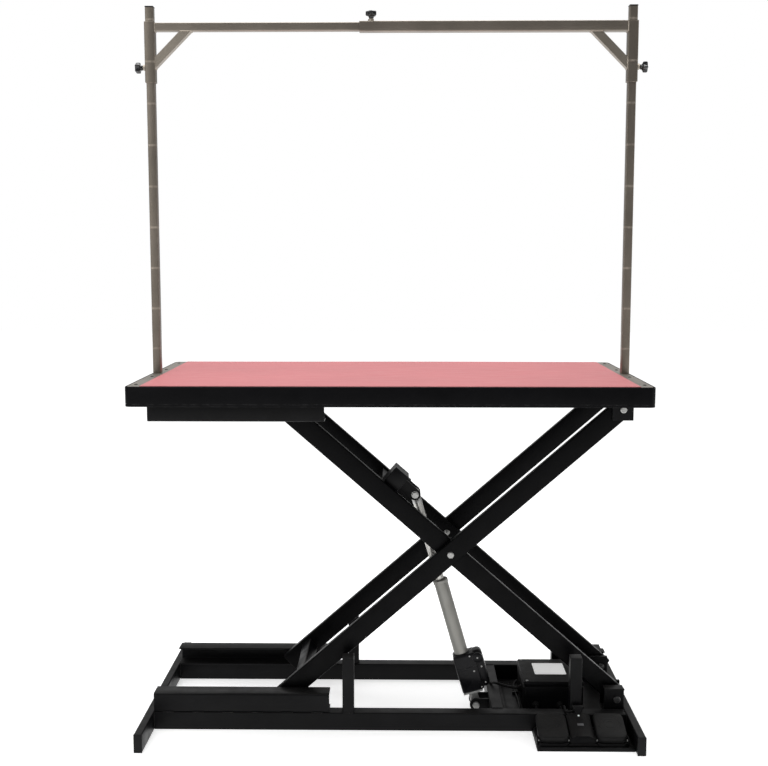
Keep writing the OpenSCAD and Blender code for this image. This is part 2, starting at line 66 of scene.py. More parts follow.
class Shader:
    """Short calls that build one material's node tree."""

    def __init__(self, name):
        self.mat = bpy.data.materials.new(name)
        self.mat.use_nodes = True
        self.tree = self.mat.node_tree
        self.bsdf = self.tree.nodes["Principled BSDF"]
        self.coords = self.node("ShaderNodeTexCoord").outputs["Object"]

    def node(self, kind, inputs=None, **props):
        n = self.tree.nodes.new(kind)
        for key, value in props.items():
            setattr(n, key, value)
        for key, value in (inputs or {}).items():
            self.put(value, n.inputs[key])
        return n

    def put(self, value, socket):
        if isinstance(value, bpy.types.NodeSocket):
            self.tree.links.new(value, socket)
        elif isinstance(value, tuple) and len(value) == 3 and socket.type == "RGBA":
            socket.default_value = (*value, 1)
        else:
            socket.default_value = value

    def math(self, op, a, b=0.0):
        return self.node("ShaderNodeMath", {0: a, 1: b}, operation=op).outputs[0]

    def times(self, a, b):
        return self.math("MULTIPLY", a, b)

    def part(self, vector, axis="Z"):
        return self.node("ShaderNodeSeparateXYZ", {0: vector}).outputs[axis]

    def facing(self):
        return self.node("ShaderNodeNewGeometry").outputs["Normal"]

    def noise(self, scale, detail=3.0, stretch=(1, 1, 1)):
        """Noise with scale features per metre, from 0 to 1."""
        place = self.node("ShaderNodeMapping", {"Vector": self.coords, "Scale": stretch})
        n = self.node("ShaderNodeTexNoise", {"Vector": place.outputs[0], "Scale": scale})
        n.inputs["Detail"].default_value = detail
        return n.outputs["Fac"]

    def cells(self, scale, feature="F1"):
        n = self.node("ShaderNodeTexVoronoi", {"Vector": self.coords, "Scale": scale})
        n.feature = feature
        return n.outputs["Distance"]

    def span(self, value, low, high, to_low=0.0, to_high=1.0):
        n = self.node("ShaderNodeMapRange", {0: value, 1: low, 2: high, 3: to_low, 4: to_high})
        n.clamp = True
        return n.outputs[0]

    def mix(self, factor, a, b, blend="MIX"):
        n = self.node("ShaderNodeMix", data_type="RGBA", blend_type=blend)
        self.put(factor, n.inputs[0])
        self.put(a, n.inputs[6])
        self.put(b, n.inputs[7])
        return n.outputs[2]

    def edges(self, radius):
        """A mask that is 1 on sharp outer edges."""
        soft = self.node("ShaderNodeBevel", {"Radius": radius}, samples=4).outputs[0]
        dot = self.node("ShaderNodeVectorMath", {0: soft, 1: self.facing()}, operation="DOT_PRODUCT")
        return self.span(dot.outputs["Value"], 0.995, 0.86)

    def up(self):
        """A mask that is 1 on faces that look up."""
        return self.span(self.part(self.facing()), 0.75, 0.99)

    def bump(self, height, strength, distance, below=None):
        n = self.node("ShaderNodeBump", {"Height": height, "Strength": strength})
        n.inputs["Distance"].default_value = distance
        if below is not None:
            self.put(below, n.inputs["Normal"])
        return n.outputs[0]

    def set(self, **inputs):
        for key, value in inputs.items():
            self.put(value, self.bsdf.inputs[key.replace("_", " ")])
        return self.mat


def tint(colour, factor):
    return tuple(min(1.0, c * factor) for c in colour)


def surface(name, colour, rough, metal=0.0, vary=0.15, grain=900.0, grain_bump=0.12,
            worn=None, wear=0.0, dust_and_top_light=0.0, coat=0.0, shine=0.32, stretch=(1, 1, 1)):
    """Base for most materials: blotches, fine grain, worn edges, and dust with painted light on top faces,
    which are lightened as if lit from above.
    """
    s = Shader(name)
    blotch = s.noise(9.0, 4.0)
    fine = s.noise(grain, 2.0, stretch)
    base = s.mix(s.span(blotch, 0.3, 0.7), tint(colour, 1 - vary), tint(colour, 1 + vary))
    base = s.mix(s.span(fine, 0.35, 0.75, 0.0, vary), base, tint(colour, 0.55))
    if wear:
        patchy = s.span(s.noise(60.0), 0.42, 0.62)
        mask = s.times(s.times(s.edges(1.1 * MM), patchy), wear)
        base = s.mix(mask, base, worn)
    # Up-facing faces are lightened with a grey layer: partly dust, partly painted light for the overhead
    # lamp falling on top faces.
    if dust_and_top_light:
        layer = s.times(s.up(), s.span(s.noise(25.0, 5.0), 0.3, 0.75, dust_and_top_light / 3, dust_and_top_light))
        base = s.mix(layer, base, (0.42, 0.40, 0.38))
    smear = s.span(s.noise(30.0, 3.0), 0.3, 0.7, rough - 0.07, rough + 0.08)
    normal = s.bump(fine, grain_bump, 0.25 * MM)
    s.set(Base_Color=base, Roughness=smear, Metallic=metal, Normal=normal)
    if coat:
        s.set(Coat_Weight=coat, Coat_Roughness=0.12)
    if not metal:
        s.set(Specular_IOR_Level=shine)
    return s.mat


def brushed(name, colour, rough, stretch, bands=False):
    """Brushed steel whose scratches run along the axis with the smallest stretch."""
    s = Shader(name)
    scratch = s.noise(420.0, 4.0, stretch)
    broad = s.noise(7.0, 3.0)
    base = s.mix(s.span(broad, 0.3, 0.7), tint(colour, 0.82), tint(colour, 1.18))
    base = s.mix(s.span(scratch, 0.3, 0.75, 0.0, 0.45), base, tint(colour, 0.5))
    # Sharp edges are drawn lighter: painted highlight along the edges.
    edge = s.times(s.edges(0.9 * MM), 0.6)
    base = s.mix(edge, base, tint(colour, 1.9))
    roughness = s.span(scratch, 0.25, 0.8, rough - 0.08, rough + 0.14)
    # Bands: faint engraved height marks every 100 mm, drawn lighter than the steel as painted glints where
    # the marks catch the light.
    if bands:
        z = s.part(s.coords)
        count = s.math("FRACT", s.math("ADD", s.times(z, 10.0), 0.3))
        step = s.math("ABSOLUTE", s.math("SUBTRACT", count, 0.5))
        faint = s.span(s.noise(90.0), 0.35, 0.65, 0.15, 0.5)
        mark = s.times(s.span(step, 0.03, 0.018), faint)
        base = s.mix(mark, base, tint(colour, 2.4))
        roughness = s.math("ADD", roughness, s.times(mark, 0.2))
    s.set(Base_Color=base, Roughness=roughness, Metallic=0.85,
          Normal=s.bump(scratch, 0.12, 0.2 * MM))
    return s.mat


def pink_rubber():
    """Moulded rubber with a fine pebbled grain, faint scuffs and paler rubbed edges."""
    s = Shader("pink_rubber")
    pebble = s.cells(520.0, "SMOOTH_F1")
    pores = s.noise(2600.0, 2.0)
    cloud = s.noise(3.5, 4.0)
    scuff = s.noise(14.0, 5.0, (1, 4, 1))
    pink = (0.545, 0.145, 0.155)
    base = s.mix(s.span(cloud, 0.3, 0.7), tint(pink, 0.93), tint(pink, 1.05))
    base = s.mix(s.span(pebble, 0.15, 0.6, 0.16, 0.0), base, tint(pink, 0.72))
    base = s.mix(s.span(scuff, 0.6, 0.8, 0.0, 0.14), base, (0.66, 0.3, 0.32))
    base = s.mix(s.times(s.edges(1.4 * MM), 0.35), base, (0.7, 0.3, 0.32))
    rough = s.span(scuff, 0.35, 0.75, 0.5, 0.66)
    fine = s.bump(pores, 0.15, 0.1 * MM)
    return s.set(Base_Color=base, Roughness=rough, Sheen_Weight=0.15,
                 Normal=s.bump(pebble, 0.45, 0.35 * MM, fine))


def board_wood():
    """Film-faced plywood: dark brown film with a faint weave and pale plies at the edge."""
    s = Shader("board_wood")
    grain = s.noise(60.0, 6.0, (1, 14, 14))
    z = s.part(s.coords)
    ply = s.span(s.math("SINE", s.times(z, 2 * pi / (2.2 * MM))), -0.3, 0.3)
    film = s.mix(s.span(grain, 0.3, 0.7), (0.030, 0.018, 0.012), (0.055, 0.034, 0.022))
    plies = s.mix(ply, (0.34, 0.21, 0.12), (0.16, 0.09, 0.05))
    nz = s.math("ABSOLUTE", s.part(s.facing()))
    base = s.mix(s.span(nz, 0.4, 0.6), plies, film)
    return s.set(Base_Color=base, Roughness=0.5, Normal=s.bump(grain, 0.2, 0.2 * MM))


def label_paper(low, high):
    """Blank matt label with a thin grey border line inside its edge; it glows faintly, painted light that
    makes it read brighter.
    """
    s = Shader("label_paper")
    paper = s.noise(1400.0, 3.0)
    base = s.mix(s.span(paper, 0.3, 0.7), (0.84, 0.84, 0.83), (0.9, 0.9, 0.895))
    xyz = s.node("ShaderNodeSeparateXYZ", {0: s.coords}).outputs
    inset = None
    for axis in (0, 1):
        middle = (low[axis] + high[axis]) / 2
        half = (high[axis] - low[axis]) / 2
        away = s.math("SUBTRACT", half, s.math("ABSOLUTE", s.math("SUBTRACT", xyz[axis], middle)))
        inset = away if inset is None else s.math("MINIMUM", inset, away)
    line = s.math("LESS_THAN", s.math("ABSOLUTE", s.math("SUBTRACT", inset, 3 * MM)), 0.35 * MM)
    base = s.mix(s.times(line, 0.55), base, (0.2, 0.2, 0.21))
    # Emission in the paper's own colour: painted light, the label glows though it is no lamp.
    return s.set(Base_Color=base, Roughness=0.55, Normal=s.bump(paper, 0.1, 0.05 * MM),
                 Emission_Color=base, Emission_Strength=0.28)


def glowing_dot():
    s = Shader("led_lens")
    ring = s.noise(900.0, 2.0)
    base = s.mix(ring, (0.55, 0.62, 0.6), (0.8, 0.86, 0.84))
    return s.set(Base_Color=base, Roughness=0.15, Emission_Color=base, Emission_Strength=0.25)


def grey(level):
    return (level, level, level)


COAT = surface("powder_coat", (0.003, 0.003, 0.0034), 0.4, vary=0.25, grain=1100, grain_bump=0.3,
               worn=grey(0.08), wear=0.6, dust_and_top_light=0.03, shine=0.13)
ARM = surface("arm_black", (0.0018, 0.0018, 0.0021), 0.36, vary=0.25, grain=1100, grain_bump=0.2,
              worn=grey(0.08), wear=0.6, dust_and_top_light=0.05, shine=0.07)
OXIDE = surface("black_oxide", grey(0.05), 0.34, metal=0.85, vary=0.2, grain_bump=0.15,
                worn=grey(0.3), wear=0.6)
GLOSS = surface("gloss_black", (0.005, 0.005, 0.006), 0.3, vary=0.2, grain=500, grain_bump=0.1,
                worn=grey(0.09), wear=0.5, dust_and_top_light=0.03, coat=0.1, shine=0.12)
EDGE = surface("edge_black", (0.004, 0.004, 0.0046), 0.4, grain=700, worn=grey(0.1), wear=0.5,
               dust_and_top_light=0.01, shine=0.07)
PLASTIC = surface("black_plastic", (0.006, 0.006, 0.0065), 0.48, vary=0.1, grain=1800, grain_bump=0.35,
                  worn=grey(0.07), wear=0.4, dust_and_top_light=0.05, shine=0.16)
BOX = surface("box_plastic", (0.003, 0.003, 0.0034), 0.5, vary=0.12, grain=2400, grain_bump=0.4,
              worn=grey(0.05), wear=0.3, dust_and_top_light=0.04, shine=0.1)
KNOB = surface("knob_black", (0.008, 0.008, 0.009), 0.22, vary=0.1, grain=400, grain_bump=0.05,
               worn=grey(0.05), wear=0.3, coat=0.5)
PEDAL = surface("pedal_rubber", grey(0.007), 0.6, vary=0.18, grain=1500, grain_bump=0.5,
                worn=(0.06, 0.06, 0.057), wear=0.5, dust_and_top_light=0.03, shine=0.18)
ZINC = surface("zinc_steel", (0.36, 0.36, 0.35), 0.34, metal=0.9, grain_bump=0.15,
               worn=(0.6, 0.6, 0.59), wear=0.6)
ALLOY = surface("cast_alloy", (0.5, 0.5, 0.49), 0.42, metal=0.9, vary=0.18, grain=1300, grain_bump=0.5,
                worn=(0.75, 0.75, 0.74), wear=0.5)
SILVER = surface("actuator_silver", (0.27, 0.265, 0.245), 0.42, metal=0.6, vary=0.05, grain=260,
                 grain_bump=0.03, stretch=(1, 1, 0.08))
CHROME = surface("rod_chrome", (0.56, 0.55, 0.52), 0.3, metal=0.8, vary=0.04, grain=200,
                 grain_bump=0.02, stretch=(1, 1, 0.08))
NYLON = surface("roller_nylon", (0.11, 0.11, 0.115), 0.5, vary=0.1, grain=700, grain_bump=0.2,
                worn=grey(0.2), wear=0.4)
STEEL_Z = brushed("steel_upright", (0.235, 0.205, 0.17), 0.34, (6, 6, 0.4), bands=True)
STEEL_X = brushed("steel_level", (0.285, 0.25, 0.21), 0.34, (0.4, 6, 6))
STEEL_PALE = brushed("steel_brace", (0.35, 0.31, 0.26), 0.36, (2, 2, 2))
STRIP = brushed("strip_metal", (0.30, 0.275, 0.24), 0.42, (6, 0.4, 6))
PINK = pink_rubber()
WOOD = board_wood()
LED = glowing_dot()


# ---- mesh helpers


def islands(node):
    """(low, high) of each separate solid in a CAD node, ordered by X, then Y, then Z."""
    bm = bmesh.new()
    bm.from_mesh(frame["nodes"][node].data)
    bmesh.ops.remove_doubles(bm, verts=bm.verts, dist=0.02 * MM)
    left = set(bm.verts)
    found = []
    while left:
        stack = [left.pop()]
        points = []
        while stack:
            v = stack.pop()
            points.append(v.co.copy())
            for e in v.link_edges:
                other = e.other_vert(v)
                if other in left:
                    left.remove(other)
                    stack.append(other)
        found.append((Vector(map(min, zip(*points))), Vector(map(max, zip(*points)))))
    bm.free()
    return sorted(found, key=lambda b: tuple(round(c, 4) for c in b[0]))


def shown(name, data):
    """A new object of the scene."""
    obj = bpy.data.objects.new(name, data)
    bpy.context.scene.collection.objects.link(obj)
    return obj


def piece(name, bm, material, body, nodes=(), bevel=0.0, steps=2, angle=35, move=None):
    """Makes an object of bm that rides on body and stands for nodes."""
    bmesh.ops.recalc_face_normals(bm, faces=bm.faces)
    mesh = bpy.data.meshes.new(name)
    if move is not None:
        bmesh.ops.transform(bm, matrix=move, verts=bm.verts)
        if move.determinant() < 0:
            bmesh.ops.reverse_faces(bm, faces=bm.faces)
    bm.to_mesh(mesh)
    bm.free()
    mesh.materials.append(material)
    for p in mesh.polygons:
        p.use_smooth = True
    obj = shown(name, mesh)
    if bevel:
        soften(obj, bevel, steps, angle)
    else:
        mesh.set_sharp_from_angle(angle=radians(angle))
    if body:
        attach(obj, body)
    if nodes:
        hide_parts(*nodes)
    return obj


def soften(obj, width, steps=2, angle=35):
    """Rounds the sharp edges of a shown object."""
    b = obj.modifiers.new("edge", "BEVEL")
    b.width = width
    b.segments = steps
    b.limit_method = "ANGLE"
    b.angle_limit = radians(angle)
    b.harden_normals = True
    b.use_clamp_overlap = True


def mm(*values):
    """A point given in millimetres."""
    return Vector(values) * MM


def turned(*pairs):
    """A lathe profile of (distance along, radius) given in millimetres."""
    return [(along * MM, r * MM) for along, r in pairs]


def arc(x, y, r, start, stop, steps):
    """Points along an arc, between two angles in right angles."""
    turns = [pi / 2 * (start + (stop - start) * k / steps) for k in range(steps + 1)]
    return [(x + r * cos(a), y + r * sin(a)) for a in turns]


def circle(count, start=0.0):
    """Angles of evenly spaced points round a circle."""
    return [2 * pi * k / count + start for k in range(count)]


def solid(bm, low, high, radius=0.0, steps=3):
    """Adds a block between two corners, with rounded edges."""
    made = bmesh.ops.create_cube(bm, size=1.0)["verts"]
    low, high = Vector(low), Vector(high)
    size, middle = high - low, (high + low) / 2
    for v in made:
        v.co = Vector(c * s for c, s in zip(v.co, size)) + middle
    if radius:
        edges = list({e for v in made for e in v.link_edges})
        bmesh.ops.bevel(bm, geom=edges, offset=radius, segments=steps, profile=0.5,
                        affect="EDGES", clamp_overlap=True)


def corner_loop(w, h, r, steps=5):
    """Points of a rectangle with round corners, around the origin."""
    r = max(r, 1e-6)
    points = []
    for quarter, (sx, sy) in enumerate(((1, 1), (-1, 1), (-1, -1), (1, -1))):
        points += arc(sx * (w / 2 - r), sy * (h / 2 - r), r, quarter, quarter + 1, steps)
    return points


def flat_ring(loop, x, y, z):
    """A loop of (u, v) points laid level around a middle."""
    return [Vector((x + u, y + v, z)) for u, v in loop]


def skin(bm, rings, loop=False):
    """Joins rings of equally many points with quads, and closes the ends or joins them up."""
    rows = [[bm.verts.new(p) for p in ring] for ring in rings]
    pairs = list(zip(rows, rows[1:])) + ([(rows[-1], rows[0])] if loop else [])
    n = len(rows[0])
    for a, b in pairs:
        for i in range(n):
            bm.faces.new((a[i], a[(i + 1) % n], b[(i + 1) % n], b[i]))
    if not loop:
        bm.faces.new(rows[0])
        bm.faces.new(rows[-1])


AXES = {0: (1, 2, 0), 1: (0, 2, 1), 2: (0, 1, 2)}


def placed(u, v, w, along):
    """A point whose length coordinate w runs along one axis (0 X, 1 Y, 2 Z)."""
    p = [0.0, 0.0, 0.0]
    for value, axis in zip((u, v, w), AXES[along]):
        p[axis] = value
    return Vector(p)


def box_section(bm, low, high, along, radius=3 * MM, wall=2.5 * MM, lip=0.5 * MM):
    """Adds a hollow rectangular tube with rounded long edges and softened ends."""
    iu, iv, iw = AXES[along]
    cu, cv = (low[iu] + high[iu]) / 2, (low[iv] + high[iv]) / 2
    w, h = high[iu] - low[iu], high[iv] - low[iv]
    outer = lambda d: corner_loop(w - 2 * d, h - 2 * d, radius - d)
    inner = lambda d: corner_loop(w - 2 * wall + 2 * d, h - 2 * wall + 2 * d,
                                  max(radius - wall, 0.6 * MM) + d)
    plan = [(outer(lip), low[iw]), (outer(0), low[iw] + lip), (outer(0), high[iw] - lip),
            (outer(lip), high[iw]), (inner(lip), high[iw]), (inner(0), high[iw] - lip),
            (inner(0), low[iw] + lip), (inner(lip), low[iw])]
    rings = [[placed(u + cu, v + cv, at, along) for u, v in loop] for loop, at in plan]
    skin(bm, rings, loop=True)


def lathe(bm, profile, origin=(0, 0, 0), direction=(0, 0, 1), count=40, start=0.0, hollow=False):
    """Turns a profile of (distance along, radius) round an axis; hollow closes the profile on itself."""
    axis = Vector(direction).normalized()
    side = axis.orthogonal().normalized()
    other = axis.cross(side)
    origin = Vector(origin)
    rings = []
    for along, r in profile:
        middle = origin + axis * along
        rings.append([middle + (side * cos(a) + other * sin(a)) * max(r, 1e-5)
                      for a in circle(count, start)])
    skin(bm, rings, loop=hollow)


def smooth_path(points, per=8):
    """Catmull-Rom curve through the points."""
    p = [Vector(q) for q in points]
    p = [2 * p[0] - p[1]] + p + [2 * p[-1] - p[-2]]
    out = []
    for a, b, c, d in zip(p, p[1:], p[2:], p[3:]):
        for k in range(per):
            t = k / per
            out.append(0.5 * (2 * b + (c - a) * t + (2 * a - 5 * b + 4 * c - d) * t * t
                              + (3 * b - a - 3 * c + d) * t ** 3))
    return out + [p[-2]]


def sweep(bm, path, radius, count=12, ripple=0.0, pitch=2.0 * MM):
    """Adds a round cord along a path; ripple makes the scales of a weld bead."""
    rings = []
    side = None
    run = 0.0
    for i, point in enumerate(path):
        ahead = (path[min(i + 1, len(path) - 1)] - path[max(i - 1, 0)]).normalized()
        side = ahead.orthogonal() if side is None else side - ahead * side.dot(ahead)
        side.normalize()
        other = ahead.cross(side)
        if i:
            run += (point - path[i - 1]).length
        r = radius * (1 + ripple * sin(2 * pi * run / pitch))
        rings.append([point + (side * cos(a) + other * sin(a)) * r for a in circle(count)])
    skin(bm, rings)


def bead(bm, a, b, radius=1.8 * MM):
    """Adds a straight weld bead."""
    a, b = Vector(a), Vector(b)
    n = max(4, int((b - a).length / (0.7 * MM)))
    sweep(bm, [a.lerp(b, k / n) for k in range(n + 1)], radius, 8, 0.16)


def hexagon(bm, origin, direction, flats, height, turn=0.0):
    """Adds a hexagonal head or nut with chamfered corners."""
    r = flats / 2 / cos(pi / 6)
    cut = height * 0.14
    lathe(bm, [(0, r * 0.97), (cut, r), (height - cut, r), (height, r * 0.9)], origin, direction, 6, turn)
    lathe(bm, [(height - 0.05 * MM, flats * 0.44), (height + 0.25 * MM, flats * 0.42)],
          origin, direction, 32)


def bolt(bm, pivot, y_head, y_nut, r, flats):
    """Adds a bolt along Y: washer and domed head at y_head, washer, nut and stub at y_nut."""
    x, z = pivot.x, pivot.z
    out = copysign(1, y_head - y_nut)
    rim, face = flats * 0.56, flats * 0.53
    washer = [(0, face), (0.2 * MM, rim), (0.9 * MM, rim), (1.1 * MM, face)]
    lathe(bm, [(0, r), (abs(y_head - y_nut), r)], (x, y_nut, z), (0, out, 0), 32)
    for y, way in ((y_head, out), (y_nut, -out)):
        lathe(bm, washer, (x, y, z), (0, way, 0))
    hexagon(bm, (x, y_head + out * 1.1 * MM, z), (0, out, 0), flats, r * 0.6, 0.3)
    hexagon(bm, (x, y_nut - out * 1.1 * MM, z), (0, -out, 0), flats, r * 0.9, 0.1)
    tip = 1.1 * MM + r * 0.9
    lathe(bm, [(tip, r * 0.95), (tip + 1.4 * MM, r * 0.95), (tip + 2 * MM, r * 0.75)],
          (x, y_nut, z), (0, -out, 0), 24)


# ---- base frame


def tubes(node, along, radius=3 * MM, wall=2.5 * MM):
    """Rebuilds a node of straight tubes with the rounded edges of drawn steel."""
    bm = bmesh.new()
    for low, high in islands(node):
        box_section(bm, low, high, along, radius, wall)
    piece(node + "_tube", bm, COAT, "base", [node])


def channels(node, body):
    """C sections with folded, rounded corners, open towards the middle."""
    t, r = 4 * MM, 5 * MM
    bm = bmesh.new()
    for low, high in islands(node):
        h, d = high.z - low.z, high.y - low.y
        tip = 0.4 * MM
        half = arc(r, r, r, 2, 3, 4) + [(d - tip, 0), (d, tip), (d, t - tip), (d - tip, t)]
        half += arc(r, r, r - t, 3, 2, 2)
        outline = half + [(y, h - z) for y, z in reversed(half)]
        front = low.y < 0
        skin(bm, [[Vector((x, low.y + y if front else high.y - y, low.z + z)) for y, z in outline]
                  for x in (low.x, high.x)])
    piece(node + "_folded", bm, COAT, body, [node], bevel=0.5 * MM, steps=1, angle=60)


def end_plugs():
    bm = bmesh.new()
    for low, high in islands("tube_caps"):
        if high.y - low.y < 20 * MM and low.y < 0:
            high.y = low.y + 3 * MM
        elif high.y - low.y < 20 * MM:
            low.y = high.y - 3 * MM
        solid(bm, low, high, 1 * MM)
    piece("end_plugs", bm, PLASTIC, "base", ["tube_caps"])


def base_welds():
    """Beads where the rails meet the skids and where posts and brackets stand on the rails."""
    bm = bmesh.new()
    for rail in ("front_rail", "back_rail"):
        low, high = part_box(rail)
        for x in (low.x, high.x):
            for y in (low.y, high.y):
                bead(bm, (x, y, low.z + 4 * MM), (x, y, high.z - 4 * MM))
            bead(bm, (x, low.y + 3 * MM, high.z), (x, high.y - 3 * MM, high.z))
    for low, high in islands("stop_posts"):
        bead(bm, (low.x + 2 * MM, low.y, low.z), (high.x - 2 * MM, low.y, low.z), 1.5 * MM)
        for x in (low.x, high.x):
            bead(bm, (x, low.y + 3 * MM, low.z), (x, low.y + 24 * MM, low.z), 1.5 * MM)
    for low, high in islands("lower_channels"):
        y = low.y if low.y < 0 else high.y
        for k in range(6):
            x = low.x + (high.x - low.x) * (0.05 + 0.17 * k)
            bead(bm, (x, y, low.z), (x + 26 * MM, y, low.z), 1.2 * MM)
    low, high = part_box("base_cross_tube")
    for y in (low.y, high.y):
        bead(bm, (low.x + 3 * MM, y, high.z), (high.x - 3 * MM, y, high.z))
    piece("base_welds", bm, COAT, "base")


# ---- scissor


def arm_matrix(fixed, rolling):
    """Frame of an arm: origin at its fixed pivot, -X along the arm."""
    a, b = PIVOTS[fixed], PIVOTS[rolling]
    x = (a - b).normalized()
    y = Vector((0, 1, 0))
    z = x.cross(y)
    turn = Matrix((x, y, z)).transposed().to_4x4()
    return Matrix.Translation(a) @ turn, (a - b).length


INNER, ARM_LENGTH = arm_matrix("scissor_lift", "upper_roller_spin")
OUTER, _ = arm_matrix("table_level", "lower_roller_spin")
ARM_UNDER = 22.5 * MM
ARM_OVER = 25.5 * MM
ARM_PAST = 12 * MM


def arm(node, body, move):
    """Arm tube, with a turned bush ring showing at each pivot."""
    low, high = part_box(node)
    bm = bmesh.new()
    box_section(bm, Vector((-ARM_LENGTH - ARM_PAST, low.y, -ARM_UNDER)),
                Vector((ARM_PAST, high.y, ARM_OVER)), 0, 3 * MM)
    for x in (0, -ARM_LENGTH / 2, -ARM_LENGTH):
        lathe(bm, [(0, 11 * MM), (high.y - low.y - 2 * MM, 11 * MM)], (x, low.y + 1 * MM, 0), (0, 1, 0))
    piece(node + "_tube", bm, ARM, body, [node], move=move)


def cross_tube(node, body, move):
    """Square tube between a pair of arms, with its weld beads."""
    low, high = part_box(node)
    x = -ARM_LENGTH + 60 * MM
    h = 15 * MM
    bm = bmesh.new()
    box_section(bm, Vector((x - h, low.y, -h)), Vector((x + h, high.y, h)), 1)
    for y in (low.y, high.y):
        for s in (-1, 1):
            bead(bm, (x - h, y, s * h), (x + h, y, s * h), 1.4 * MM)
            bead(bm, (x + s * h, y, -h), (x + s * h, y, h), 1.4 * MM)
    piece(node + "_tube", bm, ARM, body, [node], move=move)


def pivot_bolts():
    """Bolts of the fixed, centre and upper pivots, and the actuator pins."""
    lift = PIVOTS["scissor_lift"]
    tilt = PIVOTS["actuator_tilt"]
    top = PIVOTS["table_level"]
    middle = PIVOTS["scissor_cross"]
    bm = bmesh.new()
    for s in (-1, 1):
        bolt(bm, lift, s * 145 * MM, s * 81 * MM, 5 * MM, 16 * MM)
        lathe(bm, turned((0, 11), (24.9, 11)), (lift.x, s * 112.05 * MM, lift.z), (0, s, 0))
    piece("base_bolts", bm, OXIDE, "base", ["base_pivot_bolts"])
    bm = bmesh.new()
    bolt(bm, tilt, tilt.y - 24 * MM, tilt.y + 24 * MM, 5 * MM, 16 * MM)
    piece("actuator_base_pin", bm, ZINC, "base")
    bm = bmesh.new()
    for s in (-1, 1):
        bolt(bm, middle, s * 134 * MM, s * 92 * MM, 5 * MM, 14 * MM)
        lathe(bm, turned((0, 11), (1.9, 11)), (middle.x, s * 112.05 * MM, middle.z), (0, s, 0))
    for low, high in islands("inner_arm_bolts"):
        if high.y - low.y < 8 * MM:
            c = (low + high) / 2
            if abs(c.y - tilt.y) < 30 * MM:
                s = copysign(1, c.y - tilt.y)
                y = tilt.y + s * 21 * MM
                lathe(bm, turned((0, 9), (1.4, 9)), (c.x, y, c.z), (0, s, 0))
                hexagon(bm, (c.x, y + s * 1.4 * MM, c.z), (0, s, 0), 14 * MM, 5 * MM, 0.4)
    piece("inner_bolts", bm, ZINC, "inner_arms", ["inner_arm_bolts"])
    bm = bmesh.new()
    for s in (-1, 1):
        bolt(bm, top, s * 143 * MM, s * 103 * MM, 5 * MM, 14 * MM)
    piece("upper_bolts", bm, ZINC, "table", ["upper_pivot_bolts"])


def rollers(node, body):
    """Nylon rollers with a bore, hub recess and rounded tread."""
    bm = bmesh.new()
    for low, high in islands(node):
        c = (low + high) / 2
        r, w = (high.z - low.z) / 2, high.y - low.y
        profile = [(1.5, r), (0, r - 2 * MM), (0, 9.5 * MM), (2.5, 9 * MM), (2.5, 5.05 * MM)]
        half = [(a * MM - w / 2, q) for a, q in profile]
        rings = half[::-1] + [(-a, q) for a, q in half]
        rows = []
        for a, q in rings:
            rows.append([c + Vector((q * cos(t), a, q * sin(t))) for t in circle(48)])
        skin(bm, rows, loop=True)
    piece(node + "_turned", bm, NYLON, body, [node])


# ---- actuator


STROKE = Vector(JOINTS["actuator_stroke"]["axis"]).normalized()
ACT_ORIGIN = PIVOTS["actuator_tilt"]
ACT_Y = Vector((0, 1, 0))
ACT = Matrix.Translation(ACT_ORIGIN) @ Matrix(
    (ACT_Y.cross(STROKE), ACT_Y, STROKE)).transposed().to_4x4()


def actuator():
    """Gear housing with cover, screws and ribs, outer tube, motor, and end clevis."""
    case = [(-24, -24, 35), (32, 24, 133)]
    bm = bmesh.new()
    low, high = (Vector(c) * MM for c in case)
    solid(bm, low, high, 5 * MM, 4)
    lathe(bm, turned((0, 21.5), (1.4, 21.2), (2.4, 19.5)), (0, 0, high.z), (0, 0, 1))
    solid(bm, mm(20, -20, 37), mm(50, 22, 135), 12 * MM, 5)
    cover = mm(36, -19.5, 118)
    lathe(bm, turned((0, 13), (4.6, 13), (5.6, 11.5)), cover, (0, -1, 0))
    solid(bm, mm(-24.4, -24.5, 98), mm(30.2, 24, 99.6), 0.5 * MM, 2)
    piece("gear_housing", bm, GLOSS, "actuator", ["actuator_housing"], bevel=0.6 * MM, move=ACT)

    bm = bmesh.new()
    for x, z in ((18, 127), (27, 42), (19, 87)):
        at = mm(x, -24, z)
        lathe(bm, turned((-1, 2.2), (0.8, 2.2), (1.4, 1.4)), at, (0, -1, 0), 24)
    for x, y, z in ((36, -25, 118), (39, -20, 50), (40, -20, 92)):
        lathe(bm, turned((-1, 2.2), (0.8, 2.2), (1.4, 1.4)),
              mm(x, y, z), (0, -1, 0), 20)
    piece("housing_screws", bm, ZINC, "actuator", move=ACT)

    bm = bmesh.new()
    tube = turned((134, 17.5), (327, 17.5), (327, 11.3), (134, 11.3))
    lathe(bm, tube, count=56, hollow=True)
    piece("outer_tube", bm, SILVER, "actuator", ["actuator_tube"], move=ACT)
    bm = bmesh.new()
    collar = turned((322, 18.3), (323, 18.9), (331, 18.9), (333, 17), (333.5, 13), (333.5, 11.3),
                    (328, 11.3), (328, 17.1), (322, 17.1))
    lathe(bm, collar, count=48, hollow=True)
    piece("wiper_collar", bm, SILVER, "actuator", move=ACT)

    bm = bmesh.new()
    can = turned((24, 18), (27, 21), (70, 21), (71, 20.4), (72, 21), (88, 21), (91, 19.5), (92, 12),
                 (95, 12), (96, 10))
    lathe(bm, can, mm(12, 0, 86), (0, 1, 0), 48)
    piece("motor_can", bm, GLOSS, "actuator", ["actuator_motor"], move=ACT)

    bm = bmesh.new()
    solid(bm, mm(-23, -21, 30), mm(27, 21, 35), 1.2 * MM)
    for y in (-12, 5):
        solid(bm, mm(-11, y, 4), mm(11, y + 7, 31), 1.5 * MM)
        lathe(bm, turned((0, 11.5), (7, 11.5)), mm(0, y, 0), (0, 1, 0))
    piece("base_clevis", bm, ALLOY, "actuator", ["actuator_clevis"], bevel=0.6 * MM, move=ACT)


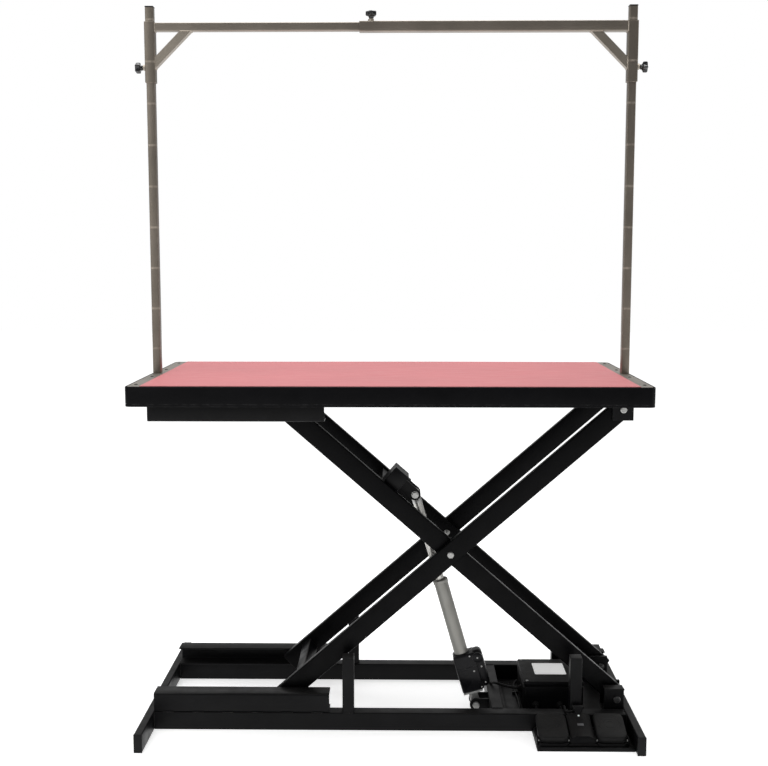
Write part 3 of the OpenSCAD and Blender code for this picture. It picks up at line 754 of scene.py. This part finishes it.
def piston():
    """Chromed rod with a cast eye and its cross pin."""
    tip = (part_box("rod_eye")[0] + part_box("rod_eye")[1]) / 2
    reach = (tip - ACT_ORIGIN).length / MM
    bm = bmesh.new()
    lathe(bm, turned((322, 11), (reach - 24, 11), (reach - 22, 9.5)), count=48)
    piece("piston_rod", bm, CHROME, "rod", ["actuator_rod"], move=ACT)
    bm = bmesh.new()
    lathe(bm, turned((reach - 26, 10), (reach - 25, 11.6), (reach - 12, 11.6), (reach - 8, 9)))
    lathe(bm, turned((-12, 11), (-11, 12), (11, 12), (12, 11)), mm(0, 0, reach), (0, 1, 0))
    lathe(bm, turned((-14.5, 5), (14.5, 5)), mm(0, 0, reach), (0, 1, 0), 28)
    piece("rod_end", bm, ALLOY, "rod", ["rod_eye"], move=ACT)


def bracket_cap():
    """Lids that close the ends of the box over the upper actuator bracket, with a bent tab."""
    c = -ARM_LENGTH / 2
    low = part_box("actuator_top_bracket")[0]
    y0, y1 = low.y, ACT_ORIGIN.y + 25 * MM
    bm = bmesh.new()
    for a, b in ((y0 - 1.5 * MM, y0 + 0.2 * MM), (y1 - 0.2 * MM, y1 + 1.5 * MM)):
        solid(bm, (c - 238 * MM, a, 20.5 * MM), (c - 196 * MM, b, 70 * MM), 0.7 * MM, 2)
    solid(bm, (c - 197 * MM, y0 + 4 * MM, 64 * MM), (c - 186 * MM, y0 + 34 * MM, 67 * MM), 0.7 * MM, 2)
    piece("bracket_lids", bm, COAT, "inner_arms", move=INNER)


# ---- control box and foot switch


def control_box():
    low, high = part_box("control_box")
    lid_low, lid_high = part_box("control_box_lid")
    bm = bmesh.new()
    solid(bm, low, Vector((high.x, high.y, high.z - 0.8 * MM)), 4 * MM)
    for k in range(7):
        y = low.y + 34 * MM + k * 13 * MM
        solid(bm, (low.x - 0.8 * MM, y, low.z + 18 * MM), (low.x + 2 * MM, y + 4 * MM, low.z + 44 * MM),
              0.7 * MM, 2)
    gland = turned((0, 9), (3, 9), (4, 7.5), (9, 7), (11, 5))
    for x in (30, 91):
        lathe(bm, gland, (low.x + x * MM, low.y, low.z + 20 * MM), (0, -1, 0), 20)
    lathe(bm, gland, (low.x, -30 * MM, 50 * MM), (-1, 0, 0), 20)
    piece("control_case", bm, BOX, "base", ["control_box"])
    bm = bmesh.new()
    solid(bm, lid_low, lid_high, 3.5 * MM, 4)
    piece("control_cover", bm, BOX, "base", ["control_box_lid"])
    bm = bmesh.new()
    for x in (lid_low.x + 9 * MM, lid_high.x - 9 * MM):
        for y in (lid_low.y + 9 * MM, lid_high.y - 9 * MM):
            lathe(bm, turned((-1, 3.6), (0.5, 3.4), (1, 2.6)), (x, y, lid_high.z), (0, 0, 1), 24)
    piece("cover_screws", bm, ZINC, "base")
    low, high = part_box("control_box_label")
    bm = bmesh.new()
    loop = corner_loop(high.x - low.x, high.y - low.y, 3 * MM)
    c = (low + high) / 2
    skin(bm, [flat_ring(loop, c.x, c.y, z) for z in (low.z, high.z)])
    piece("blank_label", bm, label_paper(low, high), "base", ["control_box_label"])


def steel_tray():
    low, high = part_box("pedal_tray")
    high.x += 1 * MM
    bm = bmesh.new()
    solid(bm, low, high, 1 * MM, 2)
    solid(bm, (low.x, low.y, low.z), (high.x, low.y + 3 * MM, high.z + 6 * MM), 1 * MM, 2)
    piece("steel_tray", bm, COAT, "base", ["pedal_tray"])


def switch_base(left, right, mid, half, clamp):
    """Moulded base: a well under each pedal, the hinge lugs and the centre block between them."""
    low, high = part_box("pedal_housing")
    back = high.y
    bm = bmesh.new()
    for a, b in (left, right):
        cx, cy = (a.x + b.x) / 2, (low.y + back) / 2
        rings = []
        for z, grow in ((4, 4), (10, 4), (15, 3), (16, 1.5), (16, -1.5), (12, -3)):
            loop = corner_loop(b.x - a.x + 2 * grow * MM, back - low.y - (4 - grow) * MM, 16 * MM, 6)
            rings.append(flat_ring(loop, cx, cy, z * MM))
        skin(bm, rings)
    reach = half + 6 * MM
    solid(bm, (mid - reach, low.y + 2 * MM, 4 * MM), (mid + reach, back, 13 * MM), 2 * MM)
    rings = []
    for y, z in ((low.y + 6 * MM, 29), (low.y + 8 * MM, 32), (clamp - 2 * MM, 54.5), (clamp, 52.5)):
        top, foot = z * MM, 8 * MM
        ring = [(half, foot), (half, top - 7 * MM), (half * 0.5, top), (-half * 0.5, top),
                (-half, top - 7 * MM), (-half, foot)]
        rings.append([Vector((mid + u, y, v)) for u, v in ring])
    skin(bm, rings)
    y = PIVOTS["up_pedal_press"].y
    for a, b in (left, right):
        for x in (a.x - 4 * MM, b.x + 1 * MM):
            solid(bm, (x, y - 6 * MM, 10 * MM), (x + 3 * MM, y + 12 * MM, 27 * MM), 1 * MM, 2)
    piece("switch_base", bm, BOX, "base", ["pedal_housing"], bevel=1 * MM, steps=3)


def block_details(mid, clamp):
    """Blank plate, light and ribs on the sloping top of the centre block, and the lead's clamp."""
    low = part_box("pedal_housing")[0]
    slope = Matrix.Rotation(atan2(22.5, 83), 4, "X")
    top = Matrix.Translation((mid, low.y + 8 * MM, 32 * MM)) @ slope
    bm = bmesh.new()
    solid(bm, mm(-7.5, 38, -0.5), mm(7.5, 46, 0.7), 0.4 * MM, 2)
    piece("blank_plate", bm, NYLON, "base", move=top)
    bm = bmesh.new()
    lathe(bm, turned((-1, 2.4), (0.8, 2.2), (1.6, 1.4), (1.9, 0.3)), mm(0, 75, 0), count=24)
    piece("switch_light", bm, LED, "base", move=top)
    bm = bmesh.new()
    for y in (56, 61, 66):
        solid(bm, mm(-8, y, -0.5), mm(8, y + 1.4, 0.5), 0.4 * MM, 2)
    piece("block_ribs", bm, BOX, "base", move=top)
    bm = bmesh.new()
    rings = []
    for z, w in ((48, 8), (56, 8.5), (62, 10), (68, 14), (71, 14), (72, 13)):
        loop = corner_loop(2 * w * MM, 8 * MM, 2 * MM, 4)
        rings.append(flat_ring(loop, mid, clamp - 4 * MM, z * MM))
    skin(bm, rings)
    piece("lead_clamp", bm, PLASTIC, "base", bevel=0.6 * MM)


def foot_switch():
    """Tray, moulded base with two wells, centre block, and the two rubber-faced pedals."""
    steel_tray()
    left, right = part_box("up_pedal"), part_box("down_pedal")
    mid = (left[1].x + right[0].x) / 2
    half = (right[0].x - left[1].x) / 2 - 4 * MM
    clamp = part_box("pedal_housing")[1].y - 7 * MM
    switch_base(left, right, mid, half, clamp)
    block_details(mid, clamp)
    bm = bmesh.new()
    hinge = PIVOTS["up_pedal_press"]
    for a, b in (left, right):
        long = b.x - a.x + 8 * MM
        lathe(bm, [(0, 2 * MM), (0.5 * MM, 2.5 * MM), (long - 0.5 * MM, 2.5 * MM), (long, 2 * MM)],
              (a.x - 4 * MM, hinge.y, hinge.z), (1, 0, 0), 24)
    piece("pedal_hinge_pins", bm, ZINC, "base", ["pedal_pins"])
    pedal("up_pedal")
    pedal("down_pedal")


def pedal(node):
    """Pedal with a rounded shoulder, a slightly crowned tread and faint raised rings."""
    low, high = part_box(node)
    hinge = PIVOTS[node + "_press"]
    w, d = high.x - low.x, 91 * MM
    centre = Vector(((low.x + high.x) / 2, hinge.y, hinge.z))
    move = Matrix.Translation(centre) @ Matrix.Rotation(radians(16), 4, "X")
    move = move @ Matrix.Translation((0, 37 * MM, 0))
    plan = [(6.2, -4), (6.4, -1.5), (7.5, -0.4), (11.0, 0.0), (13.2, -0.6), (14.6, -2.2), (15.2, -5),
            (15.7, -11), (16.0, -18), (16.1, -26), (16.1, -33)]
    bm = bmesh.new()
    rings = []
    for k, (z, grow) in enumerate(plan):
        loop = corner_loop(w + 2 * grow * MM, d + 2 * grow * MM, max(16 + grow * 0.8, 2) * MM, 7)
        ring = []
        for u, v in loop:
            front = max(0.0, min(1.0, -v / (d / 2) * 1.6 - 0.25))
            drop = (8 if k < 3 else 0) * front * front * (3 - 2 * front)
            ring.append(Vector((u, v, (z - drop) * MM)))
        rings.append(ring)
    skin(bm, rings)
    piece(node + "_moulded", bm, PEDAL, node, [node], move=move, angle=70)
    bm = bmesh.new()
    lathe(bm, [(0, 6 * MM), (w - 4 * MM, 6 * MM)], (low.x + 2 * MM, hinge.y, hinge.z), (1, 0, 0), 28)
    piece(node + "_hub", bm, BOX, node)
    bm = bmesh.new()
    for r in (12, 19, 26):
        path = [Vector((r * cos(t), r * sin(t), 15.9 - (r - 18) * 0.02)) * MM
                for t in (2 * pi * i / 48 for i in range(49))]
        sweep(bm, path, 0.5 * MM, 6)
    piece(node + "_rings", bm, PEDAL, node, move=move)


def cables():
    """Motor lead that follows the actuator, and the two leads of the foot switch and mains."""
    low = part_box("control_box")[0]
    motor = ACT @ mm(12, 90, 74)
    base_end = Vector((low.x - 10 * MM, -30 * MM, 50 * MM))
    route = [motor, motor + mm(24, 6, -14), motor + mm(46, -8, -52), mm(272, -12, 56), mm(300, -24, 52),
             base_end, base_end + mm(9, 0, 0)]
    bm = bmesh.new()
    sweep(bm, smooth_path(route, 10), 3.4 * MM, 14)
    lead = piece("motor_lead", bm, PLASTIC, None, ["cables"])
    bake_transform(lead)

    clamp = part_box("pedal_housing")[1].y - 7 * MM
    gland = Vector((0.428, low.y - 10 * MM, 25 * MM))
    route = [gland + mm(0, 9, 0), gland, mm(428, -118, 20), mm(428, -138, 30), mm(428, -142.5, 44),
             mm(428, -152, 51.2), mm(428, -168, 50.5), mm(429, -181, 51), mm(438, -188.5, 54),
             Vector((0.449, clamp + 4.6 * MM, 0.059)), Vector((0.455, clamp + 3 * MM, 0.063)),
             Vector((0.455, clamp - 2 * MM, 0.0655))]
    bm = bmesh.new()
    sweep(bm, smooth_path(route, 10), 3 * MM, 14)
    gland = Vector((low.x + 30 * MM, low.y - 10 * MM, 25 * MM))
    route = [gland + mm(0, 9, 0), gland, mm(366, -115, 14), mm(345, -138, 10), mm(318, -140, 9),
             mm(300, -118, 9), mm(306, -90, 9), mm(326, -70, 9.5), mm(331, -20, 9), mm(328, 80, 9),
             mm(345, 128, 10), mm(410, 141, 9.5), mm(480, 140, 9)]
    sweep(bm, smooth_path(route, 10), 3 * MM, 14)
    piece("switch_and_mains_leads", bm, PLASTIC, "base")
    bm = bmesh.new()
    for x, y, z in ((318, -140, 9), (328, 40, 9)):
        solid(bm, mm(x - 8, y - 3, z - 4), mm(x + 8, y + 3, z + 4.2), 1 * MM, 2)
    piece("cable_clips", bm, PLASTIC, "base")


# ---- top


def edge_band():
    """Extruded edge with a rolled top lip and a shallow groove low on its face."""
    low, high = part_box("edge_band")
    w, d = high.x - low.x, high.y - low.y
    profile = [(2, -3.6), (1.4, -4), (0.6, -4), (0, -3.4), (0, 0.6), (0.45, 1.2), (0.45, 2.2), (0, 2.8),
               (0, 40.2), (0.5, 41.4), (1.5, 42), (4.6, 42), (5, 41.6), (2, 41.2)]
    bm = bmesh.new()
    rings = []
    for inset, z in profile:
        loop = corner_loop(w - 2 * inset * MM, d - 2 * inset * MM, 14 * MM - inset * MM, 8)
        rings.append(flat_ring(loop, 0, 0, low.z + z * MM))
    skin(bm, rings, loop=True)
    piece("edge_extrusion", bm, EDGE, "table", ["edge_band"], angle=28)


def rubber_mat():
    """Mat with rounded rims and a very slight wave, as rubber sheet lies."""
    low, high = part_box("rubber_mat")
    w, d = high.x - low.x, high.y - low.y - 8 * MM
    bm = bmesh.new()
    nx, ny = 96, 48
    rows = []
    for j in range(ny + 1):
        row = []
        for i in range(nx + 1):
            u, v = i / nx - 0.5, j / ny - 0.5
            wave = 0.35 * MM * sin(7 * u + 2 * v) * sin(5 * v - 1.2)
            rim = min(0.5 - abs(u), (0.5 - abs(v)) * d / w) * w
            drop = 1.4 * MM * (1 - min(1, rim / (2.4 * MM))) ** 2
            z = high.z - 0.4 * MM + (0 if rim < 12 * MM else wave) - drop
            row.append(bm.verts.new((u * w, v * d, z)))
        rows.append(row)
    for a, b in zip(rows, rows[1:]):
        for i in range(nx):
            bm.faces.new((a[i], a[i + 1], b[i + 1], b[i]))
    rim = rows[0][:] + [r[-1] for r in rows[1:]] + rows[-1][-2::-1] + [r[0] for r in rows[-2:0:-1]]
    foot = [bm.verts.new((v.co.x, v.co.y, low.z)) for v in rim]
    n = len(rim)
    for i in range(n):
        bm.faces.new((rim[i], foot[i], foot[(i + 1) % n], rim[(i + 1) % n]))
    bm.faces.new(foot)
    piece("mat_sheet", bm, PINK, "table", ["rubber_mat"], angle=50)


POST_X = 586 * MM


def end_strips():
    """Metal end strips with pressed edges, and countersunk cross-head screws."""
    bm = bmesh.new()
    post = 10.4 * MM
    for low, high in islands("end_strips"):
        inner = low.x if low.x > 0 else high.x
        outer = high.x if low.x > 0 else low.x
        way = copysign(1, inner)
        px = way * POST_X
        r = 12 * MM
        corner = reversed(arc(0, high.y - r, r, 0, 1, 6))
        edge = [(inner, high.y)] + [(outer - way * (r - x), y) for x, y in corner]
        near, far = px + way * post, px - way * post
        notch = [(near, post), (far, post), (far, -post), (near, -post)]
        outline = edge + [(outer, post)] + notch + [(outer, -post)]
        outline += [(x, -y) for x, y in reversed(edge)]
        skin(bm, [[Vector((x, y, z)) for x, y in outline] for z in (low.z, high.z)])
    piece("strip_plates", bm, STRIP, "table", ["end_strips"], bevel=0.5 * MM)
    bm = bmesh.new()
    for low, high in islands("strip_screws"):
        c = (low + high) / 2
        if high.x - low.x > 6 * MM:
            z = high.z - 1.5 * MM
            head = turned((-1, 4.2), (0.2, 4.5), (1.1, 3.6), (1.45, 2.2), (1.2, 1.6), (0.6, 1.2))
            lathe(bm, head, (c.x, c.y, z), (0, 0, 1), 28)
    piece("strip_screw_heads", bm, PLASTIC, "table", ["strip_screws"])


# ---- overhead bar


def posts():
    for node in ("left_post", "right_post"):
        low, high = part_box(node)
        bm = bmesh.new()
        box_section(bm, low, high, 2, 2 * MM, 1.5 * MM)
        piece(node + "_tube", bm, STEEL_Z, "table", [node])
    bm = bmesh.new()
    for low, high in islands("post_caps"):
        top = high.z
        lip, wall = 0.4 * MM, 2 * MM
        solid(bm, (low.x - lip, low.y - lip, top - 3 * MM), (high.x + lip, high.y + lip, top), 1.2 * MM)
        solid(bm, (low.x + wall, low.y + wall, low.z), (high.x - wall, high.y - wall, top - wall),
              0.8 * MM, 2)
    piece("post_plugs", bm, PLASTIC, "table", ["post_caps"])


def arm_bracket(node, side):
    """Sleeve, cross bar and mitred diagonal brace of one side, with their weld beads."""
    low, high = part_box(node)
    s = 12.5 * MM
    post = POST_X * side
    inner = post - side * s
    thin = side < 0
    half = 10 * MM if thin else s
    bar_mid = high.z - s
    sleeve = bmesh.new()
    box_section(sleeve, Vector((post - s, -s, low.z)), Vector((post + s, s, high.z)), 2, 2.4 * MM, 2.4 * MM)
    piece(node + "_sleeve", sleeve, STEEL_Z, "overhead_bar", [node])
    bar = bmesh.new()
    far_end = high.x if thin else low.x
    ends = sorted((inner, far_end))
    box_section(bar, Vector((ends[0], -half, bar_mid - half)), Vector((ends[1], half, bar_mid + half)), 0,
                2.2 * MM, 2 * MM if not thin else 1.5 * MM)
    piece(node + "_bar", bar, STEEL_X, "overhead_bar")

    under = bar_mid - half
    near, far, t = 61 * MM, 89 * MM, 10 * MM
    brace = bmesh.new()
    section = [(near + (far - near) * (u + 0.5), v) for u, v in corner_loop(1.0, 2 * t, 0.24 * t)]
    skin(brace, [[Vector((inner, v, under - reach)) for reach, v in section],
                 [Vector((inner - side * reach, v, under)) for reach, v in section]])
    piece(node + "_brace", brace, STEEL_PALE, "overhead_bar")

    runs = [((inner, v, under - near), (inner, v, under - far)) for v in (-t, t)]
    runs += [((inner - side * near, v, under), (inner - side * far, v, under)) for v in (-t, t)]
    for reach in (near, far):
        runs.append(((inner, -t, under - reach), (inner, t, under - reach)))
        runs.append(((inner - side * reach, -t, under), (inner - side * reach, t, under)))
    runs += [((inner, v, under), (inner, v, high.z - 3 * MM)) for v in (-half, half)]
    runs.append(((inner, -half, under), (inner, half, under)))
    welds = bmesh.new()
    for a, b in runs:
        bead(welds, a, b, 1.3 * MM)
    piece(node + "_welds", welds, STEEL_PALE, "overhead_bar")


def nuts_and_knobs():
    bm = bmesh.new()
    for low, high in islands("weld_nuts"):
        c = (low + high) / 2
        if abs(c.x) > 0.3:
            way = Vector((copysign(1, c.x), 0, 0))
            at = Vector((low.x if c.x > 0 else high.x, c.y, c.z))
        else:
            way = Vector((0, 0, 1))
            at = Vector((c.x, c.y, low.z))
        hexagon(bm, at, way, 13 * MM, 6.2 * MM)
        lathe(bm, turned((-0.2, 8.6), (1.2, 7.4)), at, way, 24)
    piece("weld_nuts_hex", bm, STEEL_PALE, "overhead_bar", ["weld_nuts"], bevel=0.4 * MM)
    for node in ("left_knob", "right_knob", "top_knob"):
        low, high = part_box(node)
        c = (low + high) / 2
        if node == "top_knob":
            way, at = Vector((0, 0, 1)), Vector((c.x, c.y, low.z + 2 * MM))
        else:
            s = -1 if node == "left_knob" else 1
            way, at = Vector((s, 0, 0)), Vector((high.x - 2 * MM if s < 0 else low.x + 2 * MM, c.y, c.z))
        knob(node, at, way)


def knob(node, at, way):
    """Five-lobed moulded knob with a waisted neck, a domed face and a threaded stud."""
    axis = way.normalized()
    side = axis.orthogonal().normalized()
    other = axis.cross(side)
    bm = bmesh.new()
    plan = [(7.6, 5.4, 0), (8.4, 6.2, 0), (11, 6.2, 0.1), (12.6, 7.5, 0.4), (13.6, 10.2, 1),
            (15.2, 11.3, 1), (21.5, 11.4, 1), (23.6, 10.9, 0.95), (24.8, 9.6, 0.8), (25.3, 7.4, 0.5),
            (25.5, 4.5, 0.15), (25.5, 1.5, 0)]
    rings = []
    for h, r, lobe in plan:
        ring = []
        for a in circle(60):
            reach = r + 2.5 * lobe * (cos(5 * a) * 0.85 + 0.15 * cos(10 * a))
            ring.append(at + axis * h * MM + (side * cos(a) + other * sin(a)) * reach * MM)
        rings.append(ring)
    skin(bm, rings)
    piece(node + "_star", bm, KNOB, node, [node], angle=60)
    bm = bmesh.new()
    thread = []
    for h in range(-2, 8):
        thread += [(h, 2.65), (h + 0.5, 3.0)]
    lathe(bm, turned(*thread), at, axis, 24)
    piece(node + "_stud", bm, ZINC, node)


# ---- stage


def stage():
    """Pale floor, soft studio light and the camera."""
    floor_mat = Shader("studio_floor")
    cloud = floor_mat.noise(3.0, 2.0)
    pale = floor_mat.mix(cloud, (0.86, 0.86, 0.86), (0.88, 0.88, 0.88))
    floor_mat.set(Base_Color=pale, Roughness=0.9, Specular_IOR_Level=0.0,
                  Emission_Color=(1, 1, 1), Emission_Strength=0.6)
    bm = bmesh.new()
    bmesh.ops.create_grid(bm, x_segments=2, y_segments=2, size=14)
    mesh = bpy.data.meshes.new("floor")
    bm.to_mesh(mesh)
    bm.free()
    mesh.materials.append(floor_mat.mat)
    shown("floor", mesh)

    scene = bpy.context.scene
    world = scene.world = bpy.data.worlds.new("studio")
    world.use_nodes = True
    tree = world.node_tree
    back = tree.nodes["Background"]

    def level(source, low, high, to_low, to_high):
        node = tree.nodes.new("ShaderNodeMapRange")
        for slot, value in enumerate((None, low, high, to_low, to_high)):
            if slot:
                node.inputs[slot].default_value = value
        tree.links.new(source, node.inputs[0])
        return node.outputs[0]

    way = tree.nodes.new("ShaderNodeSeparateXYZ")
    tree.links.new(tree.nodes.new("ShaderNodeTexCoord").outputs["Generated"], way.inputs[0])
    sky = level(way.outputs["Z"], -0.1, 0.9, 0.12, 0.95)
    room = level(way.outputs["Y"], -0.9, 0.5, 0.35, 1.0)
    backdrop = level(way.outputs["Y"], 0.72, 0.93, 0.0, 0.5)

    def join(operation, a, b):
        node = tree.nodes.new("ShaderNodeMath")
        node.operation = operation
        tree.links.new(a, node.inputs[0])
        tree.links.new(b, node.inputs[1])
        return node.outputs[0]

    glow = join("MAXIMUM", join("MULTIPLY", sky, room), backdrop)
    camera_ray = tree.nodes.new("ShaderNodeLightPath").outputs["Is Camera Ray"]
    back.inputs["Color"].default_value = (1, 1, 1, 1)
    tree.links.new(join("MAXIMUM", glow, camera_ray), back.inputs["Strength"])

    def area(name, place, aim, size, power):
        light = bpy.data.lights.new(name, "AREA")
        light.shape = "RECTANGLE"
        light.size, light.size_y = size
        light.energy = power
        obj = shown(name, light)
        obj.location = place
        obj.rotation_euler = (Vector(aim) - Vector(place)).to_track_quat("-Z", "Y").to_euler()

    area("overhead", (-0.3, 0.2, 3.6), (0, 0, 0.6), (3.2, 2.4), 85)
    area("front_fill", (-2.6, -3.4, 2.2), (0, 0, 0.7), (2.0, 2.0), 22)
    area("right_fill", (3.2, -1.2, 1.6), (0, 0, 0.6), (1.4, 2.2), 12)

    cam = bpy.data.cameras.new("camera")
    cam.sensor_width = 36
    cam.lens = 53.1
    obj = shown("camera", cam)
    obj.location = (0.0236, -2.830, 1.1551)
    forward = Vector((-0.0140, 0.9935, -0.1133))
    obj.rotation_euler = forward.to_track_quat("-Z", "Y").to_euler()
    bpy.context.scene.camera = obj
    scene.view_settings.view_transform = "Standard"


def carried_over():
    """Materials of the CAD nodes that stay, with their edges rounded where the shape allows."""
    circuit = surface("circuit_green", (0.02, 0.09, 0.03), 0.35, vary=0.3, grain=400, grain_bump=0.3)
    switch = surface("switch_red", (0.18, 0.02, 0.015), 0.35, grain=500, grain_bump=0.1)
    looks = {
        "lower_arm_brackets": COAT, "actuator_base_bracket": COAT, "base_plate": COAT,
        "circuit_board": circuit, "pedal_switches": switch,
        "actuator_top_bracket": COAT, "upper_axles": ZINC, "lower_axles": ZINC, "leadscrew": ZINC,
        "table_frame": COAT, "deck_board": WOOD, "upper_arm_brackets": COAT,
    }
    for node, material in looks.items():
        obj = frame["nodes"][node]
        obj.data.materials.clear()
        obj.data.materials.append(material)
        weld = obj.modifiers.new("weld", "WELD")
        weld.merge_threshold = 0.01 * MM
        soften(obj, 0.6 * MM, 2, 50)


def build():
    for node in ("left_skid", "right_skid", "base_cross_tube"):
        tubes(node, 1)
    for node in ("front_rail", "back_rail"):
        tubes(node, 0)
    tubes("stop_posts", 2, 2.5 * MM, 2 * MM)
    channels("lower_channels", "base")
    channels("upper_channels", "table")
    end_plugs()
    base_welds()
    for side in ("front", "back"):
        arm(side + "_inner_arm", "inner_arms", INNER)
        arm(side + "_outer_arm", "outer_arms", OUTER)
    cross_tube("inner_cross_tube", "inner_arms", INNER)
    cross_tube("outer_cross_tube", "outer_arms", OUTER)
    pivot_bolts()
    rollers("lower_rollers", "lower_rollers")
    rollers("upper_rollers", "upper_rollers")
    actuator()
    piston()
    bracket_cap()
    control_box()
    foot_switch()
    cables()
    edge_band()
    rubber_mat()
    end_strips()
    posts()
    arm_bracket("left_arm_bracket", -1)
    arm_bracket("right_arm_bracket", 1)
    nuts_and_knobs()
    carried_over()
    stage()


build()
